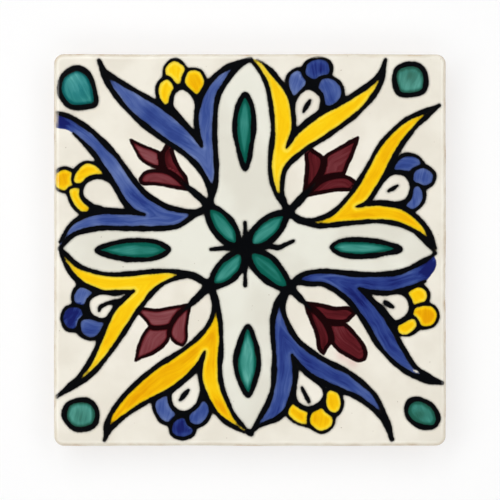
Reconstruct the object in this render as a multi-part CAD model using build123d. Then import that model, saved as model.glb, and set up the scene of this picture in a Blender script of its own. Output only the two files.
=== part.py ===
from build123d import *

import math
import os

# A hand-painted square ceramic wall tile, pressed and fired as one piece.
# It lies on its back with the glazed face up. The origin is the middle of the back, on the
# plane that the key ribs stand on, and +Z points out of the glazed face.

# Driving dimensions of the face and edges, in millimetres.
tile_side = 100.0  # across the face, edge to edge
tile_thickness = 10.0  # from the rib faces on the back to the glazed face
corner_radius = 2.5  # of the square's corners, seen from above
face_edge_radius = 1.5  # the glaze rolls over the edge of the face
edge_band_height = 5.0  # upright part of each side, where neighbours meet, with the rolled edge
skirt_inset = 0.6  # how far the press draws each side in below that band

# Driving dimensions of the keyed back, in millimetres and degrees.
groove_pitch = 11.0  # from one key groove to the next
groove_mouth = 5.5  # width of a groove where it opens on the back
groove_depth = 1.0
groove_wall_lean = 30.0  # how far a groove's walls lean from upright, so the press lets go
groove_floor_radius = 0.4  # between a groove's floor and its walls
back_border = 7.0  # least width of the plain rib along each outer edge
back_edge_bevel = 0.5  # on the arris round the back

# Sizes that follow from those.
skirt_height = tile_thickness - edge_band_height
skirt_lean = math.degrees(math.atan2(skirt_inset, skirt_height))
back_side = tile_side - 2 * skirt_inset
groove_floor = groove_mouth - 2 * groove_depth * math.tan(math.radians(groove_wall_lean))


def pressed_blank() -> Part:
    """The slab as it leaves the press: an upright band over a skirt that draws in to the back."""
    outline = RectangleRounded(tile_side, tile_side, corner_radius)
    parting_plane = Plane.XY.offset(skirt_height)
    band = extrude(parting_plane * outline, edge_band_height)
    downward = Plane(origin=parting_plane.origin, x_dir=(1, 0, 0), z_dir=(0, 0, -1))
    skirt = extrude(downward * outline, skirt_height, taper=skirt_lean)
    return band + skirt


def eased_edges(slab: Part) -> Part:
    """The face's edge rolled over by the glaze, and the back's arris taken off."""
    slab = fillet(slab.edges().group_by(Axis.Z)[-1], face_edge_radius)
    return chamfer(slab.edges().group_by(Axis.Z)[0], back_edge_bevel)


def key_groove() -> Part:
    """One groove across the whole back, centred on the Y axis, with its mouth at Z = 0."""
    mouth, floor = groove_mouth / 2, groove_floor / 2
    section = Plane.XZ * make_face(
        Polyline(
            (-mouth, 0),
            (-floor, groove_depth),
            (floor, groove_depth),
            (mouth, 0),
            close=True,
        )
    )
    groove = extrude(section, tile_side / 2, both=True)
    floor_edges = groove.edges().filter_by(Axis.Y).group_by(Axis.Z)[-1]
    return fillet(floor_edges, groove_floor_radius)


def groove_offsets() -> list[float]:
    """Where the grooves lie across the back: in pairs about a middle rib, clear of the border."""
    room = back_side / 2 - back_border - groove_mouth / 2
    pairs = int((room - groove_pitch / 2) // groove_pitch) + 1
    right_half = [(n + 0.5) * groove_pitch for n in range(pairs)]
    return [-x for x in reversed(right_half)] + right_half


def keyed_tile() -> Part:
    """The finished tile."""
    tile = eased_edges(pressed_blank())
    groove = key_groove()
    for offset in groove_offsets():
        tile -= Pos(offset, 0, 0) * groove
    return tile


os.makedirs("parts", exist_ok=True)
export_step(keyed_tile(), "parts/ceramic_tile.step")
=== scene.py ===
"""Looks of a hand-painted ceramic wall tile: painted glaze, bare biscuit edges and keyed back."""
import logging
import math
from collections.abc import Mapping
from dataclasses import dataclass, field
from enum import Enum

import bpy
import numpy as np
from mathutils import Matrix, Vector


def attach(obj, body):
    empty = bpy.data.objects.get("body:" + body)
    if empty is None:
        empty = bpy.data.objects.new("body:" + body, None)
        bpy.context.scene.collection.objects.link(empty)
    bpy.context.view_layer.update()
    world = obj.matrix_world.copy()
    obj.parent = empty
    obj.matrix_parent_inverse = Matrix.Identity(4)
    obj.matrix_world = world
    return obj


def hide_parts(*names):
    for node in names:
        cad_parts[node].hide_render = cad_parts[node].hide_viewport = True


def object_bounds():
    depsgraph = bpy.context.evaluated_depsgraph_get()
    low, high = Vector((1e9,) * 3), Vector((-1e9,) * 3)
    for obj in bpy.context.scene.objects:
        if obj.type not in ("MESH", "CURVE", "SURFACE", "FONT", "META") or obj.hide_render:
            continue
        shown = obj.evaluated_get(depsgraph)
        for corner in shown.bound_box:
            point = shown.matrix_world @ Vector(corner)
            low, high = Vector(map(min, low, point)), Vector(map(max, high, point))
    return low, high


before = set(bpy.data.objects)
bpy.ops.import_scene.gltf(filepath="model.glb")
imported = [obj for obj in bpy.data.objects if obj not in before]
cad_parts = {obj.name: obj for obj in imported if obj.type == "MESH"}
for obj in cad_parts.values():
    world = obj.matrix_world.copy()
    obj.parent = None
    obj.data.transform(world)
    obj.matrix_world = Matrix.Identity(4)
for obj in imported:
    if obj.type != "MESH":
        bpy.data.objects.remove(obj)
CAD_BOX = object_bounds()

log = logging.getLogger("painted_tile")

MM = 0.001  # metres in a millimetre
FAR = 9.0  # distance in mm that stands for nowhere near
SHARP = 40  # degrees between faces above which an edge isn't smoothed
NODE = "ceramic_tile"
BODY = "root"

Point = tuple[float, float]
Route = tuple[Point, ...]
Rgb = tuple[int, int, int]


def linear(colour: Rgb) -> tuple[float, float, float, float]:
    """Turns a colour as seen on screen, 0 to 255, into the linear colour that shaders take.

    Args:
        colour: red, green and blue.

    Returns:
        Linear red, green, blue and a full alpha.
    """
    parts = (part / 255 for part in colour)
    red, green, blue = (p / 12.92 if p <= 0.04045 else ((p + 0.055) / 1.055) ** 2.4 for p in parts)
    return red, green, blue, 1.0


def ease(low: float, high: float, given: np.ndarray) -> np.ndarray:
    """Rises smoothly from 0 at one value to 1 at another.

    Args:
        low: where the rise starts.
        high: where it ends; below `low` for a fall.
        given: values to ease.

    Returns:
        Eased values, from 0 to 1.
    """
    share = np.clip((given - low) / (high - low), 0.0, 1.0)
    return share * share * (3 - 2 * share)


class Ripple:
    """A smooth uneven line, the sum of a few waves with seeded phases."""

    def __init__(self, seed: int, longest: float, count: int = 5) -> None:
        """Draws the waves.

        Args:
            seed: which uneven line to make.
            longest: longest wave, in mm.
            count: how many waves, each about 1.7 times shorter than the last.
        """
        draw = np.random.default_rng(seed)
        lengths = longest / 1.7 ** np.arange(count)
        self.turns = 2 * np.pi / (lengths * draw.uniform(0.85, 1.15, count))
        self.phases = draw.uniform(0, 2 * np.pi, count)
        self.shares = 0.72 ** np.arange(count)
        self.shares /= self.shares.sum()

    def __call__(self, along: np.ndarray) -> np.ndarray:
        """Height of the line, from about -1 to 1, at places in mm along it."""
        waves = np.sin(np.multiply.outer(along, self.turns) + self.phases)
        return waves @ self.shares


class Pigment(Enum):
    """Colours that the painter brushes between the ink lines."""

    COBALT = "cobalt_mm"
    YELLOW = "yellow_mm"
    COPPER = "copper_mm"
    MAROON = "maroon_mm"


def smooth_curve(route: Route | np.ndarray, closed: bool = False, steps: int = 10) -> np.ndarray:
    """Runs a smooth curve through given points.

    Args:
        route: the points, in mm.
        closed: whether the curve comes back to its first point.
        steps: runs between one point and the next.

    Returns:
        Points along the curve, one to a row.
    """
    marks = np.asarray(route, dtype=float)
    if closed:
        padded = np.vstack([marks[-1], marks, marks[:2]])
    else:
        padded = np.vstack([2 * marks[0] - marks[1], marks, 2 * marks[-1] - marks[-2]])
    t = np.linspace(0.0, 1.0, steps, endpoint=False)[:, None]
    spans = []
    for before, a, b, after in zip(padded, padded[1:], padded[2:], padded[3:]):
        lead, run, tail = (max(math.dist(p, q), 1e-6) ** 0.5 for p, q in ((before, a), (a, b), (b, after)))
        leave = run * ((a - before) / lead - (b - before) / (lead + run) + (b - a) / run)
        arrive = run * ((b - a) / run - (after - a) / (run + tail) + (after - b) / tail)
        spans.append((2 * t**3 - 3 * t**2 + 1) * a + (t**3 - 2 * t**2 + t) * leave
                     + (3 * t**2 - 2 * t**3) * b + (t**3 - t**2) * arrive)
    curve = np.vstack(spans)
    return curve if closed else np.vstack([curve, marks[-1]])


@dataclass(frozen=True)
class Fork:
    """Two blades that part from one knot of the cross, in one colour between ink lines.

    The long blade runs out on the diagonal and the short one lies along an arm of the cross.
    """

    pigment: Pigment
    load: float
    back: Route
    gap_long: Route
    gap_short: Route
    arm: Route
    soft_end: int = 0  # how many of the short blade's last points have no line
    soft_tip: int = 0  # how many of the long blade's last points have no line

    def gap_lines(self) -> tuple[np.ndarray, np.ndarray]:
        """Lines along the gap between the blades, as far as they are drawn."""
        tip = self.gap_long[:len(self.gap_long) - self.soft_tip]
        end = self.gap_short[:len(self.gap_short) - self.soft_end]
        return smooth_curve(tip), smooth_curve(end)

    def outline(self) -> np.ndarray:
        """Closed outline of both blades."""
        return np.vstack([smooth_curve(self.back), smooth_curve(self.gap_long)[::-1],
                          smooth_curve(self.gap_short), smooth_curve(self.arm)[::-1]])


@dataclass(frozen=True)
class Petal:
    """A pointed petal between two edges that run from its foot to its tip."""

    near_edge: Route
    far_edge: Route

    def outline(self) -> np.ndarray:
        """Closed outline of the petal."""
        return np.vstack([smooth_curve(self.near_edge), smooth_curve(self.far_edge)[::-1]])


@dataclass(frozen=True)
class Tulip:
    """A maroon bud between two side petals, on a black stem."""

    loads: tuple[float, float, float]  # pigment on the bud and on each side petal
    bud: Petal
    sides: tuple[Petal, Petal]
    stem: Route


@dataclass(frozen=True)
class Posy:
    """Three coloured beads round a white eye, with a black fleck in most eyes."""

    pigment: Pigment
    loads: tuple[float, ...]  # pigment on each bead
    beads: tuple[Route, ...]
    eye: Route
    fleck: Route = ()

    def tucked(self, tuck: float) -> list[np.ndarray]:
        """The beads' points, moved some way towards the middle of the eye."""
        inward = [np.mean(self.eye, axis=0) - np.mean(bead, axis=0) for bead in self.beads]
        return [np.asarray(bead) + way / np.hypot(*way) * tuck for bead, way in zip(self.beads, inward)]


@dataclass(frozen=True)
class Leaf:
    """A green leaf or dot with an ink line round it."""

    load: float
    route: Route


@dataclass(frozen=True)
class Pool:
    """A soft round place with more or less of something, such as pigment where a brush rested."""

    place: Point
    radius: float  # mm
    extra: float  # how much more, or less if below zero


# Knots of the cross and the tips of its arms, in mm from the tile's middle, to the right and up.
MIDDLE = (-1.2, 0.3)
KNOT_UL = (-10.3, 11.2)
KNOT_UR = (9.8, 9.7)
KNOT_DL = (-10.2, -9.0)
KNOT_DR = (10.0, -9.5)
TIP_UP = (0.1, 48.6)
TIP_DOWN = (0.1, -46.3)
TIP_LEFT = (-48.4, 0.4)
TIP_RIGHT = (47.1, -0.9)

FORKS = {
    "up_left": Fork(
        Pigment.COBALT, 0.34,
        back=(KNOT_UL, (-10, 13.5), (-11, 17.5), (-13, 20.8), (-16.5, 24.3), (-24, 29.5), (-31.5, 36),
              (-36.5, 43), (-38.4, 48.2)),
        gap_long=((-12.3, 26.4), (-15.7, 30.9), (-22.4, 36.5), (-32.4, 42.4), (-36.8, 45.5),
                  (-38.4, 48.2)),
        gap_short=((-12.3, 26.4), (-13.7, 33), (-12.2, 39.8), (-8.4, 44.7), (-4, 47.4), (-0.7, 48.4)),
        arm=(KNOT_UL, (-8.6, 18), (-9, 30.5), (-8.2, 38.5), (-5.7, 43.3), (-2.8, 46.8), TIP_UP),
    ),
    "left_up": Fork(
        Pigment.COBALT, 0.36,
        back=(KNOT_UL, (-13, 9.8), (-17, 10), (-21.4, 11.1), (-27.1, 14.9), (-34.4, 24.4),
              (-40.3, 30.3), (-46.1, 34), (-49.5, 35)),
        gap_long=((-26.8, 9), (-29.5, 9.9), (-31.9, 12.1), (-36.2, 19.3), (-40.6, 25.4), (-45, 29.7),
                  (-49.5, 31.1)),
        gap_short=((-26.8, 9), (-31, 9.6), (-39.5, 9.5), (-45, 7), (-48.5, 2)),
        arm=(KNOT_UL, (-14, 9), (-17, 6.8), (-20, 5.7), (-30, 5.4), (-36, 5.6), (-41, 5.1),
             (-45, 3.8), TIP_LEFT),
        soft_tip=1,
    ),
    "up_right": Fork(
        Pigment.YELLOW, 0.17,
        back=(KNOT_UR, (8.2, 14.4), (9.1, 20.7), (13.9, 25.3), (21.5, 30.2), (28.8, 36.1), (33.3, 42.4),
              (34.5, 48.4)),
        gap_long=((9.3, 26), (11.5, 29.6), (16.8, 33.9), (23.8, 37.8), (30.6, 42.4), (32.9, 44.8),
                  (34.5, 48.4)),
        gap_short=((9.3, 26), (11, 30), (11.1, 33.5), (9.9, 39.5), (6, 44.8), (3.4, 47.4), (1.9, 48.4)),
        arm=(KNOT_UR, (6.4, 14.8), (5.1, 20), (5.8, 32), (4.2, 42), (2.1, 46), TIP_UP),
    ),
    "right_up": Fork(
        Pigment.YELLOW, 0.36,
        back=(KNOT_UR, (12.5, 7.9), (15, 7.5), (18, 8.2), (21, 9.5), (25.3, 13.9), (29.3, 20.1),
              (33.3, 27.1), (39.2, 32.8), (44.5, 35.4), (48.2, 36.8)),
        gap_long=((27, 11), (29.8, 12.3), (33.7, 17.8), (37.6, 25.3), (42.6, 31.8), (45.5, 34.3),
                  (48.2, 36.8)),
        gap_short=((27, 11), (33, 12), (39.5, 10.4), (44.4, 6.2), (47.3, 0.5)),
        arm=(KNOT_UR, (12.5, 7.5), (15, 6.6), (18, 6.1), (27, 7), (35, 7.1), (42, 4.7),
             (46.3, 0.3), TIP_RIGHT),
    ),
    "left_down": Fork(
        Pigment.YELLOW, 0.21,
        back=(KNOT_DL, (-12.5, -7.6), (-15, -6.6), (-18, -6.9), (-23, -9.2), (-27.6, -14.3),
              (-31.4, -20), (-35.3, -25.7), (-40.4, -31.7), (-46.5, -35.8), (-49.3, -37.4)),
        gap_long=((-29.6, -10.4), (-34.4, -14.8), (-37.4, -20.8), (-39.9, -26.8), (-43.2, -31.8),
                  (-46, -34.6), (-49.3, -37.4)),
        gap_short=((-29.6, -10.4), (-37, -10.8), (-43.7, -7.9), (-47.6, -2.4), TIP_LEFT),
        arm=(KNOT_DL, (-12.5, -7.5), (-15, -6.2), (-22, -5.3), (-31, -6.1), (-36, -6.2), (-40, -5.4),
             (-43.7, -3.9), TIP_LEFT),
    ),
    "down_left": Fork(
        Pigment.YELLOW, 0.54,
        back=(KNOT_DL, (-9.1, -13), (-9.9, -17.5), (-12, -21), (-17.5, -25.7), (-24.5, -30.2),
              (-31.5, -36.5), (-36, -43), (-37, -48.4)),
        gap_long=((-11.5, -25.8), (-14.3, -30.8), (-20.4, -35.7), (-26.8, -39), (-32.8, -43),
                  (-35.6, -45.7), (-37, -48.4)),
        gap_short=((-11.5, -25.8), (-12.7, -31), (-11.9, -35.6), (-8.3, -41.8), (-3.2, -45.5),
                   (0.4, -47)),
        arm=(KNOT_DL, (-8.3, -14), (-7.3, -22), (-7.5, -33), (-4.3, -41.5), (-2, -44.5), TIP_DOWN),
    ),
    "right_down": Fork(
        Pigment.COBALT, 0.7,
        back=(KNOT_DR, (12, -8.4), (15, -8.6), (19, -8.9), (24.5, -12.5), (28.8, -17.9), (32.6, -24.2),
              (38.1, -29.9), (44, -33), (49, -34)),
        gap_long=((27.8, -9.8), (30.7, -12.5), (34.6, -17.3), (39, -25), (42.8, -30.5), (49, -33.8)),
        gap_short=((27.8, -9.8), (33, -11), (40, -10), (44.6, -7.9), (46.9, -5.4), (47.4, -3),
                   (46.7, -1)),
        arm=(KNOT_DR, (12.5, -6.8), (15, -5.8), (19, -5.4), (29, -6.2), (38, -5.6),
             (45, -2.3), TIP_RIGHT),
        soft_end=3,
    ),
    "down_right": Fork(
        Pigment.COBALT, 0.56,
        back=(KNOT_DR, (8.5, -13.5), (8.9, -17), (12, -22.7), (18.3, -27.6), (25.3, -31.3),
              (31.7, -36.9), (34.9, -43.6), (36.1, -48.2)),
        gap_long=((10.7, -26.7), (14.7, -31.5), (21.2, -34.9), (28.3, -38.1), (33.7, -42.9),
                  (36.1, -48.2)),
        gap_short=((10.7, -26.7), (11.6, -32), (9.6, -39.9), (7.5, -42.5), (2.5, -44.8), (0, -46.6)),
        arm=(KNOT_DR, (7.3, -12.5), (5.8, -18), (6.2, -29), (5.3, -37), (2.3, -43), TIP_DOWN),
    ),
}

TULIPS = (
    Tulip(
        (0.74, 1.2, 0.96),
        Petal(((-20, 20), (-22.3, 24), (-24.5, 25.5), (-27, 26.4), (-30.4, 28.1)),
              ((-20, 20), (-25, 21.5), (-27.5, 23), (-29.5, 26), (-30.4, 28.1))),
        (Petal(((-15.5, 15.3), (-20.5, 19.5), (-22, 21.5), (-22.3, 24.5), (-21, 27.4)),
               ((-15.5, 15.3), (-16.3, 18.5), (-18.1, 21.2), (-19.4, 24), (-20, 26.5), (-21, 27.4))),
         Petal(((-15.5, 15.3), (-20.5, 19.5), (-24.5, 20.2), (-27, 19.5), (-28, 17.9)),
               ((-15.5, 15.3), (-20, 16), (-24, 16.7), (-27.5, 17), (-28, 17.9)))),
        ((-17.7, 17.7), (-14.8, 15.2), KNOT_UL),
    ),
    Tulip(
        (1.05, 1.22, 1.14),
        Petal(((14.6, 14.6), (18, 21.5), (19.2, 23.8), (21.5, 25.4), (24.5, 27), (27.5, 28.7)),
              ((14.6, 14.6), (23.4, 18.8), (25, 22.2), (26.3, 25), (27.5, 28.7))),
        (Petal(((13.6, 13.5), (14.1, 18), (14.4, 21), (14.2, 24.5), (15, 26.1)),
               ((13.6, 13.5), (18, 20), (18.5, 23.3), (16.5, 25), (15, 26.1))),
         Petal(((13.6, 13.5), (19, 18), (24.5, 18.7), (26.5, 17.5), (27.2, 16.6)),
               ((13.6, 13.5), (18, 14.5), (22.5, 15.2), (26, 15.4), (27.2, 16.6)))),
        ((16.6, 17), (13.4, 13.4), KNOT_UR),
    ),
    Tulip(
        (0.8, 0.7, 0.8),
        Petal(((-19.5, -17), (-25.4, -19.6), (-27, -21.4), (-28.3, -24.4), (-29.1, -28.1)),
              ((-19.5, -17), (-20.2, -20.6), (-21.3, -23.4), (-24.4, -26), (-29.1, -28.1))),
        (Petal(((-15.2, -13.8), (-20, -14.7), (-24, -15.3), (-27.5, -15), (-28.6, -15.6)),
               ((-15.2, -13.8), (-19, -18.5), (-25, -19.5), (-26.3, -18), (-28.6, -15.6))),
         Petal(((-15.2, -13.8), (-15.7, -17), (-16.2, -20), (-16.2, -22.8), (-17, -24.3)),
               ((-15.2, -13.8), (-19.3, -18), (-20.3, -21.5), (-18.9, -23.6), (-17, -24.4)))),
        ((-17.1, -15.7), (-14.8, -13.5), KNOT_DL),
    ),
    Tulip(
        (1.16, 1.2, 1.2),
        Petal(((18.5, -16.5), (19.8, -21.8), (22.1, -25.1), (25.5, -27.3), (27.8, -28.3), (29.2, -27.8)),
              ((18.5, -16.5), (24, -18.8), (26.9, -21.5), (28.8, -24.1), (29.5, -26.4), (29.2, -27.8))),
        (Petal(((13.8, -13.2), (17.4, -13.7), (21, -14.6), (25, -14.7), (27, -15.8)),
               ((13.8, -13.2), (18, -17.5), (24.3, -18.2), (26, -16.9), (27, -15.8))),
         Petal(((13.8, -13.2), (15.5, -18), (17, -22), (17.6, -25.3), (18.7, -26.5)),
               ((13.8, -13.2), (19, -18.5), (20.5, -23), (19.6, -25), (18.7, -26.5)))),
        ((15.7, -15.3), (13.6, -13.1), KNOT_DR),
    ),
)

POSIES = (
    Posy(
        Pigment.YELLOW, (0.17, 0.34, 0.2),
        (((-19.2, 48.9), (-21.8, 47), (-21.7, 44), (-19.4, 42), (-16.8, 43), (-16.2, 46.4)),
         ((-15.6, 46.2), (-16.9, 43.2), (-15, 40.1), (-12.3, 39.6), (-11, 42.6), (-12.5, 46)),
         ((-21.4, 44.2), (-23.7, 42.6), (-23.9, 39.6), (-22, 36.8), (-19.8, 38.6), (-19.4, 42))),
        ((-17.3, 41.3), (-19.6, 39.8), (-19.9, 36.6), (-17.6, 33.5), (-12.8, 28), (-13, 36),
         (-14.8, 39.7)),
    ),
    Posy(
        Pigment.YELLOW, (0.46, 0.23, 0.28),
        (((-47.6, 21), (-50.2, 19.6), (-50.1, 16.2), (-47, 14.9), (-44.4, 16), (-44.7, 19.4)),
         ((-45.3, 17.6), (-44.6, 20.7), (-42, 22.7), (-39, 21.9), (-37, 19.4), (-41, 18.4), (-43, 16.8)),
         ((-46.6, 15.4), (-45.9, 12), (-43.6, 9.3), (-39.6, 8.9), (-39.5, 11), (-42.1, 12.9),
          (-42.8, 15.8))),
        ((-39, 18.6), (-42, 17.2), (-42.9, 14), (-40.5, 11.4), (-37.2, 10.1), (-29, 10), (-34.5, 17)),
        ((-40.4, 10.2), (-38.3, 10.7)),
    ),
    Posy(
        Pigment.COBALT, (0.4, 0.68, 0.5),
        (((12.4, 46.2), (9.8, 44.7), (9.5, 41.4), (11, 38.9), (13.8, 40.6), (14.6, 44.4)),
         ((17.2, 49), (14.2, 47.6), (13.8, 44.6), (16.4, 43), (19.4, 43.4), (20.8, 45.8), (20, 48.2)),
         ((18, 43.8), (16.8, 41), (18.2, 37), (21.2, 36.3), (23.7, 39.2), (23.2, 42.2), (20.6, 44.1))),
        ((15, 41.3), (12.1, 39.3), (10.8, 36), (10.2, 28), (14.5, 32.6), (18, 35.6), (18.2, 39.2)),
        ((15.2, 38), (13.6, 35.2)),
    ),
    Posy(
        Pigment.COBALT, (0.58, 0.58, 0.44),
        (((36.2, 20.4), (37.5, 23.1), (39.8, 24.4), (43, 23.6), (44.2, 21.2), (41.4, 19.5), (38.6, 19.7)),
         ((44.4, 21.4), (41.7, 20.3), (41.2, 17.6), (43.4, 15.9), (46.4, 16.8), (47.1, 19.4)),
         ((40.6, 15.8), (43, 16.5), (44.5, 14.6), (43.9, 11.6), (41, 9.8), (39.4, 11.2), (40.4, 13.4))),
        ((28.2, 11.4), (33.4, 17.6), (36.8, 19.7), (39.8, 19), (41.1, 16.5), (40.1, 12.8), (36, 11.4)),
        ((37.6, 16.4), (35.2, 15)),
    ),
    Posy(
        Pigment.COBALT, (0.45, 0.95, 0.5),
        (((-40.2, -9.2), (-43.8, -9.2), (-45.3, -12.2), (-43.6, -15.2), (-40.9, -14.8), (-39.6, -12.2)),
         ((-43, -14.6), (-46.7, -14.6), (-48.1, -17.4), (-46.6, -20.3), (-43.2, -20), (-42.1, -17)),
         ((-43.4, -18), (-43.2, -21.5), (-40.4, -22.8), (-37.2, -21.1), (-36.6, -17.6), (-40.4, -16.9))),
        ((-30.4, -10.4), (-37.4, -10.6), (-41.2, -12.8), (-41, -16.1), (-37.7, -17.9), (-33.4, -16)),
        ((-33.2, -13.3), (-36, -13.5), (-38.1, -14.6), (-38.3, -15.4)),
    ),
    Posy(
        Pigment.COBALT, (0.48, 0.86, 0.56),
        (((-20.2, -36.8), (-24, -36.7), (-24.6, -40.2), (-22.6, -43.8), (-19.8, -44.3), (-18.5, -41.2)),
         ((-17.2, -42.4), (-19.8, -43.8), (-20, -46.9), (-17.2, -48.2), (-14.3, -46.9), (-14.6, -43.8)),
         ((-12.4, -38.2), (-15.5, -41), (-15.6, -44.2), (-13, -45), (-10.4, -42.6), (-10, -38.4))),
        ((-11.9, -27), (-18, -33.8), (-20.4, -36.6), (-19.8, -39.9), (-17, -41.5), (-13.8, -39.9),
         (-12.4, -36.4)),
        ((-15.6, -35.6), (-17.8, -38.1)),
    ),
    Posy(
        Pigment.YELLOW, (0.26, 0.46, 0.26),
        (((9.8, -39), (9.2, -42), (11.9, -44.5), (15.4, -45), (16.5, -41.6), (12.8, -39.2)),
         ((18.4, -39.8), (15.6, -41.4), (15.2, -44.7), (18.4, -46.8), (21.3, -44.9), (21.1, -41.4)),
         ((20.4, -35.6), (19, -38.2), (20.1, -41.3), (22.5, -42), (23.9, -39.6), (22.9, -36.2))),
        ((11.4, -28), (11, -36.4), (12.1, -39.3), (15, -40.5), (18.4, -38.6), (18.9, -35.8), (16, -32.4)),
        ((13.2, -35), (15, -38.5)),
    ),
    Posy(
        Pigment.YELLOW, (0.26, 0.64, 0.3),
        (((40, -9), (40, -12.6), (42.3, -14.8), (45.2, -13.4), (45.8, -10.7), (43.7, -8.8)),
         ((44.9, -13.9), (41.9, -14.9), (41.4, -17.6), (43.8, -19.8), (47, -19.4), (48.3, -16.8),
          (47.2, -14.5)),
         ((42.2, -17.6), (43, -19.9), (40.6, -22), (38, -21.7), (37.5, -19.5), (39.8, -17.8))),
        ((29, -10.2), (37, -10.2), (40.2, -12), (41, -15), (39.6, -17.4), (37, -18.4), (34, -15.4)),
        ((34.3, -13.2), (36.4, -14.6)),
    ),
)

ARM_LEAVES = (
    Leaf(1.0, ((-1.3, 39.6), (-2.7, 37.4), (-3.85, 32.5), (-3.4, 27), (-1.1, 20.6), (0.5, 27),
               (0.95, 32.5), (0.2, 37.4))),
    Leaf(0.78, ((-0.6, -19.4), (-2.6, -23.5), (-3.7, -28.4), (-2.8, -33), (-0.4, -37), (1.4, -33),
                (2.2, -28.4), (1.4, -23.5))),
    Leaf(1.12, ((-39, 0), (-34.5, 1.8), (-29, 2.5), (-23.5, 1.9), (-20.7, 0), (-23.5, -1.9),
                (-29, -2.5), (-34.5, -1.8))),
    Leaf(0.78, ((20.8, 0.7), (22.6, 2.2), (27.5, 2.6), (33, 2.1), (38.4, 0.2), (33, -1.2), (27.5, -1.7),
                (22.6, -0.9))),
)
MIDDLE_LEAVES = (
    Leaf(1.07, ((-10.7, 10.6), (-9.7, 5.6), (-6.2, 1.9), (-3.2, 1.2), (-3.1, 4.4), (-5.1, 7.9),
                (-8.6, 10.7))),
    Leaf(1.03, ((-0.3, 0.5), (0, 3.6), (2.4, 6.8), (5.8, 9), (9.1, 9.1), (7.9, 5), (5.1, 2.2),
                (1.4, 0.2))),
    Leaf(1.0, ((-1.6, -0.2), (-5.3, -1.5), (-8.5, -4.5), (-9.7, -8.5), (-8.4, -9.2), (-4.9, -7.9),
               (-2, -4.5))),
    Leaf(1.36, ((-0.3, -0.2), (4.8, -1.4), (8.2, -5), (9.9, -9.4), (8, -9.8), (4, -7.7), (0.6, -4.2))),
)
CORNER_DOTS = (
    Leaf(0.8, ((-44.2, 46.3), (-47.8, 44), (-48.4, 40), (-45.8, 36.6), (-41.5, 36.4), (-39.3, 37.2),
               (-39.6, 41), (-41.2, 44.8))),
    Leaf(0.82, ((40.7, 47.4), (37.3, 46), (36.7, 43), (38, 39.8), (41, 39.4), (44.2, 40.6),
                (44.7, 44.2), (43.3, 46.8))),
    Leaf(0.72, ((-43, -38.1), (-46.2, -39.2), (-47.2, -42.2), (-45.4, -45.1), (-42.6, -45.7),
                (-39.6, -44.4), (-38.9, -41.2), (-40.3, -38.8))),
    Leaf(0.94, ((42.8, -37.9), (40.4, -38.7), (39.7, -41), (41.1, -43.6), (44.2, -45.1), (46.9, -44.9),
                (47.9, -43), (46.5, -39.8))),
)
TICKS = (
    (MIDDLE, (-1.3, 4), (-1.3, 6.9)),
    (MIDDLE, (-1.2, -5), (-1.2, -9)),
    (MIDDLE, (-5, 0.6), (-9.9, 0.1)),
    (MIDDLE, (4.4, 0.9), (7.3, 0.6), (9, 1.4), (11, 2.3)),
)
BARE_SPOT = ((41.4, -30.4), (42.6, -30.7), (43.2, -31.5), (42.1, -31.2))
POOLS = (
    Pool((46, -5), 3.4, 0.6),
    Pool((-49, 33.2), 4.4, 0.72),
    Pool((-26, 35.6), 4.5, 0.1),
    Pool((-18, 29.2), 4, 0.3),
    Pool((-28.5, 12.5), 3, 0.28),
    Pool((-11, 36), 5, 0.1),
    Pool((9, -22.5), 3.5, 0.25),
    Pool((14.5, -27.5), 4, 0.22),
    Pool((27.5, -11.2), 3.5, 0.25),
    Pool((-35, 7.6), 4, 0.15),
    Pool((-9.5, -34), 5, -0.32),
    Pool((-42.3, 39.6), 2.4, 0.4),
    Pool((41, 44.4), 2, 0.35),
    Pool((-43.2, -42.4), 2.3, 0.28),
    Pool((42.8, -42.3), 2.3, 0.4),
)
# Maroon that bled into the glaze, and casts of the dots' green: red above zero and blue below.
BLEEDS = (Pool((23.6, -26.6), 1.7, 0.5), Pool((26.2, -28.6), 1.5, 0.4))
CASTS = (
    Pool((-43.8, 41.4), 6, -1.0),
    Pool((40.8, 43.4), 5, 1.0),
    Pool((-43.1, -42), 5, 0.85),
    Pool((43.8, -41.5), 5, 0.6),
)


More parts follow.
